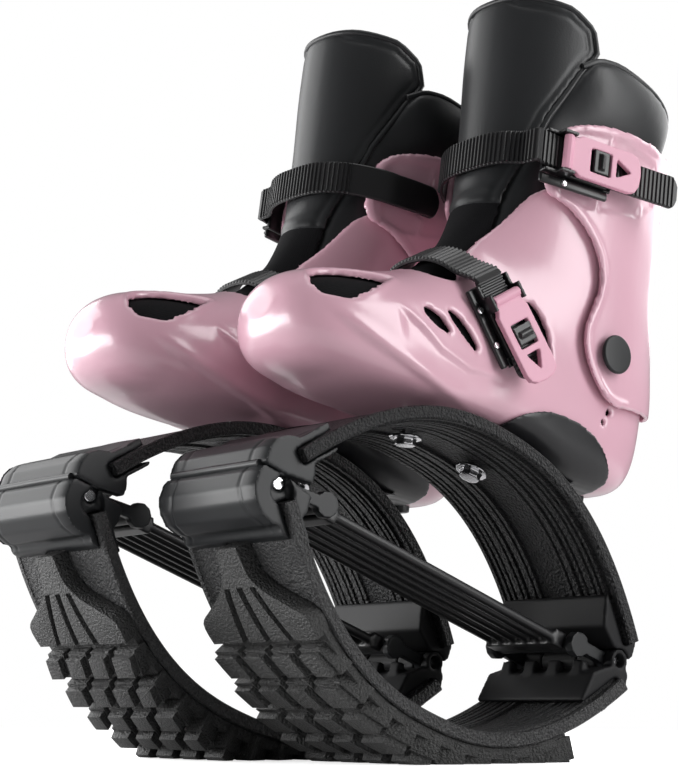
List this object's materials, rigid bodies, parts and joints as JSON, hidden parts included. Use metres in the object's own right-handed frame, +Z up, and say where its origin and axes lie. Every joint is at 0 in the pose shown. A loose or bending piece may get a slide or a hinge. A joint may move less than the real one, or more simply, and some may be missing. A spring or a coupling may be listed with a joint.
{
  "type": "jumping shoes",
  "caption": "Rebound jumping shoes: buckled boots, each on a lens of bowed leaf springs with hinged end caps, a stretch spring across the middle and a lugged tread.",
  "frame": {"origin": "on the floor, under the middle of the pair's bounding box", "axes": "+Z up, toes towards -Y, the left boot at +X and the right boot at -X, standing as pictured, rocked back on the treads"},
  "size_m": [0.2576, 0.3952, 0.46],
  "materials": {
    "shell_pink": "glossy",
    "lever_pink": "glossy",
    "lining": "soft sheen",
    "strap": "satin",
    "leaf": "matte, fine grain",
    "cap_black": "satin",
    "tread_rubber": "matte, fine speckle",
    "mount_rubber": "matte",
    "spring_rubber": "satin",
    "steel": "polished"
  },
  "bodies": {
    "soles": {"left_lower_leaf": "leaf", "left_tread": "tread_rubber", "right_lower_leaf": "leaf", "right_tread": "tread_rubber"},
    "left_boot": {"left_shell": "shell_pink", "left_outer_ankle_rivet": "cap_black", "left_inner_ankle_rivet": "cap_black", "left_liner": "lining", "left_tongue": "lining", "left_instep_strap": "strap", "left_instep_buckle_base": "cap_black", "left_heel_mount": "mount_rubber", "left_heel_bumper": "mount_rubber", "left_upper_leaf": "leaf", "left_front_mounting_bolt": "steel", "left_rear_mounting_bolt": "steel"},
    "left_cuff": {"left_cuff": "shell_pink", "left_calf_strap": "strap", "left_calf_buckle_base": "cap_black"},
    "left_instep_lever": {"left_instep_lever": "lever_pink"},
    "left_instep_pawl": {"left_instep_pawl": "cap_black"},
    "left_calf_lever": {"left_calf_lever": "lever_pink"},
    "left_calf_pawl": {"left_calf_pawl": "cap_black"},
    "left_front_axle": {"left_front_axle": "steel", "left_front_yoke": "cap_black", "left_stretch_spring": "spring_rubber"},
    "left_rear_axle": {"left_rear_axle": "steel", "left_rear_yoke": "cap_black"},
    "left_front_upper_cap": {"left_front_upper_cap": "cap_black"},
    "left_front_lower_cap": {"left_front_lower_cap": "cap_black"},
    "left_rear_upper_cap": {"left_rear_upper_cap": "cap_black"},
    "left_rear_lower_cap": {"left_rear_lower_cap": "cap_black"},
    "right_boot": {"right_shell": "shell_pink", "right_outer_ankle_rivet": "cap_black", "right_inner_ankle_rivet": "cap_black", "right_liner": "lining", "right_tongue": "lining", "right_instep_strap": "strap", "right_instep_buckle_base": "cap_black", "right_heel_mount": "mount_rubber", "right_heel_bumper": "mount_rubber", "right_upper_leaf": "leaf", "right_front_mounting_bolt": "steel", "right_rear_mounting_bolt": "steel"},
    "right_cuff": {"right_cuff": "shell_pink", "right_calf_strap": "strap", "right_calf_buckle_base": "cap_black"},
    "right_instep_lever": {"right_instep_lever": "lever_pink"},
    "right_instep_pawl": {"right_instep_pawl": "cap_black"},
    "right_calf_lever": {"right_calf_lever": "lever_pink"},
    "right_calf_pawl": {"right_calf_pawl": "cap_black"},
    "right_front_axle": {"right_front_axle": "steel", "right_front_yoke": "cap_black", "right_stretch_spring": "spring_rubber"},
    "right_rear_axle": {"right_rear_axle": "steel", "right_rear_yoke": "cap_black"},
    "right_front_upper_cap": {"right_front_upper_cap": "cap_black"},
    "right_front_lower_cap": {"right_front_lower_cap": "cap_black"},
    "right_rear_upper_cap": {"right_rear_upper_cap": "cap_black"},
    "right_rear_lower_cap": {"right_rear_lower_cap": "cap_black"}
  },
  "joints": [
    {"name": "left_bounce", "type": "slide", "parent": "soles", "child": "left_boot", "axis": [0, -0.342, -0.9397], "range_m": [0, 0.028], "stiffness_N_per_m": 20000, "deforming": ["left_upper_leaf", "left_lower_leaf", "left_tread", "left_stretch_spring"]},
    {"name": "left_front_end_travel", "type": "slide", "parent": "soles", "child": "left_front_axle", "axis": [0, -0.7832, -0.6218], "range_m": [0, 0.01646]},
    {"name": "left_spring_stretch", "type": "slide", "parent": "left_front_axle", "child": "left_rear_axle", "axis": [0, 0.9397, -0.342], "range_m": [0, 0.01723], "deforming": ["left_stretch_spring"]},
    {"name": "left_front_upper_cap_turn", "type": "hinge", "parent": "left_front_axle", "child": "left_front_upper_cap", "pos_m": [0.0575, -0.13401, 0.1454], "axis": [1, 0, 0], "range_deg": [-8, 0], "deforming": ["left_upper_leaf", "left_lower_leaf", "left_tread"]},
    {"name": "left_front_lower_cap_turn", "type": "hinge", "parent": "left_front_axle", "child": "left_front_lower_cap", "pos_m": [0.0575, -0.13401, 0.1454], "axis": [1, 0, 0], "range_deg": [0, 8], "deforming": ["left_upper_leaf", "left_lower_leaf", "left_tread"]},
    {"name": "left_rear_upper_cap_turn", "type": "hinge", "parent": "left_rear_axle", "child": "left_rear_upper_cap", "pos_m": [0.0575, 0.11638, 0.05852], "axis": [1, 0, 0], "range_deg": [0, 8], "deforming": ["left_upper_leaf", "left_lower_leaf", "left_tread"]},
    {"name": "left_rear_lower_cap_turn", "type": "hinge", "parent": "left_rear_axle", "child": "left_rear_lower_cap", "pos_m": [0.0575, 0.11638, 0.05852], "axis": [1, 0, 0], "range_deg": [-8, 0], "deforming": ["left_upper_leaf", "left_lower_leaf", "left_tread"]},
    {"name": "left_cuff_flex", "type": "hinge", "parent": "left_boot", "child": "left_cuff", "pos_m": [0.0575, 0.11415, 0.24246], "axis": [1, 0, 0], "range_deg": [-3, 10], "deforming": ["left_liner", "left_tongue"]},
    {"name": "left_instep_lever_lift", "type": "hinge", "parent": "left_boot", "child": "left_instep_lever", "pos_m": [0.11258, 0.01554, 0.26307], "axis": [0, -0.8818, -0.4716], "range_deg": [0, 95]},
    {"name": "left_instep_pawl_lift", "type": "hinge", "parent": "left_instep_lever", "child": "left_instep_pawl", "pos_m": [0.11266, 0.02416, 0.24695], "axis": [0, -0.8818, -0.4716], "range_deg": [0, 8], "stiffness_Nm_per_rad": 0.01},
    {"name": "left_calf_lever_lift", "type": "hinge", "parent": "left_cuff", "child": "left_calf_lever", "pos_m": [0.11705, 0.06409, 0.35764], "axis": [0, -0.1564, -0.9877], "range_deg": [0, 95]},
    {"name": "left_calf_pawl_lift", "type": "hinge", "parent": "left_calf_lever", "child": "left_calf_pawl", "pos_m": [0.11809, 0.08212, 0.35478], "axis": [0, -0.1564, -0.9877], "range_deg": [0, 8], "stiffness_Nm_per_rad": 0.01},
    {"name": "right_bounce", "type": "slide", "parent": "soles", "child": "right_boot", "axis": [0, -0.342, -0.9397], "range_m": [0, 0.028], "stiffness_N_per_m": 20000, "deforming": ["right_upper_leaf", "right_lower_leaf", "right_tread", "right_stretch_spring"]},
    {"name": "right_front_end_travel", "type": "slide", "parent": "soles", "child": "right_front_axle", "axis": [0, -0.7832, -0.6218], "range_m": [0, 0.01646]},
    {"name": "right_spring_stretch", "type": "slide", "parent": "right_front_axle", "child": "right_rear_axle", "axis": [0, 0.9397, -0.342], "range_m": [0, 0.01723], "deforming": ["right_stretch_spring"]},
    {"name": "right_front_upper_cap_turn", "type": "hinge", "parent": "right_front_axle", "child": "right_front_upper_cap", "pos_m": [-0.0575, -0.178, 0.1454], "axis": [1, 0, 0], "range_deg": [-8, 0], "deforming": ["right_upper_leaf", "right_lower_leaf", "right_tread"]},
    {"name": "right_front_lower_cap_turn", "type": "hinge", "parent": "right_front_axle", "child": "right_front_lower_cap", "pos_m": [-0.0575, -0.178, 0.1454], "axis": [1, 0, 0], "range_deg": [0, 8], "deforming": ["right_upper_leaf", "right_lower_leaf", "right_tread"]},
    {"name": "right_rear_upper_cap_turn", "type": "hinge", "parent": "right_rear_axle", "child": "right_rear_upper_cap", "pos_m": [-0.0575, 0.07238, 0.05852], "axis": [1, 0, 0], "range_deg": [0, 8], "deforming": ["right_upper_leaf", "right_lower_leaf", "right_tread"]},
    {"name": "right_rear_lower_cap_turn", "type": "hinge", "parent": "right_rear_axle", "child": "right_rear_lower_cap", "pos_m": [-0.0575, 0.07238, 0.05852], "axis": [1, 0, 0], "range_deg": [-8, 0], "deforming": ["right_upper_leaf", "right_lower_leaf", "right_tread"]},
    {"name": "right_cuff_flex", "type": "hinge", "parent": "right_boot", "child": "right_cuff", "pos_m": [-0.0575, 0.07015, 0.24246], "axis": [1, 0, 0], "range_deg": [-3, 10], "deforming": ["right_liner", "right_tongue"]},
    {"name": "right_instep_lever_lift", "type": "hinge", "parent": "right_boot", "child": "right_instep_lever", "pos_m": [-0.11258, -0.02846, 0.26307], "axis": [0, 0.8818, 0.4716], "range_deg": [0, 95]},
    {"name": "right_instep_pawl_lift", "type": "hinge", "parent": "right_instep_lever", "child": "right_instep_pawl", "pos_m": [-0.11266, -0.01984, 0.24695], "axis": [0, 0.8818, 0.4716], "range_deg": [0, 8], "stiffness_Nm_per_rad": 0.01},
    {"name": "right_calf_lever_lift", "type": "hinge", "parent": "right_cuff", "child": "right_calf_lever", "pos_m": [-0.11705, 0.02009, 0.35764], "axis": [0, 0.1564, 0.9877], "range_deg": [0, 95]},
    {"name": "right_calf_pawl_lift", "type": "hinge", "parent": "right_calf_lever", "child": "right_calf_pawl", "pos_m": [-0.11809, 0.03812, 0.35478], "axis": [0, 0.1564, 0.9877], "range_deg": [0, 8], "stiffness_Nm_per_rad": 0.01}
  ],
  "couplings": [
    {"joint": "left_front_end_travel", "follows": "left_bounce", "ratio": 0.58673},
    {"joint": "left_spring_stretch", "follows": "left_bounce", "ratio": 0.614},
    {"joint": "left_front_upper_cap_turn", "follows": "left_bounce", "rad_per_m": -4.9555},
    {"joint": "left_front_lower_cap_turn", "follows": "left_bounce", "rad_per_m": 4.9555},
    {"joint": "left_rear_upper_cap_turn", "follows": "left_bounce", "rad_per_m": 4.9555},
    {"joint": "left_rear_lower_cap_turn", "follows": "left_bounce", "rad_per_m": -4.9555},
    {"joint": "right_front_end_travel", "follows": "right_bounce", "ratio": 0.58673},
    {"joint": "right_spring_stretch", "follows": "right_bounce", "ratio": 0.614},
    {"joint": "right_front_upper_cap_turn", "follows": "right_bounce", "rad_per_m": -4.9555},
    {"joint": "right_front_lower_cap_turn", "follows": "right_bounce", "rad_per_m": 4.9555},
    {"joint": "right_rear_upper_cap_turn", "follows": "right_bounce", "rad_per_m": 4.9555},
    {"joint": "right_rear_lower_cap_turn", "follows": "right_bounce", "rad_per_m": -4.9555}
  ]
}
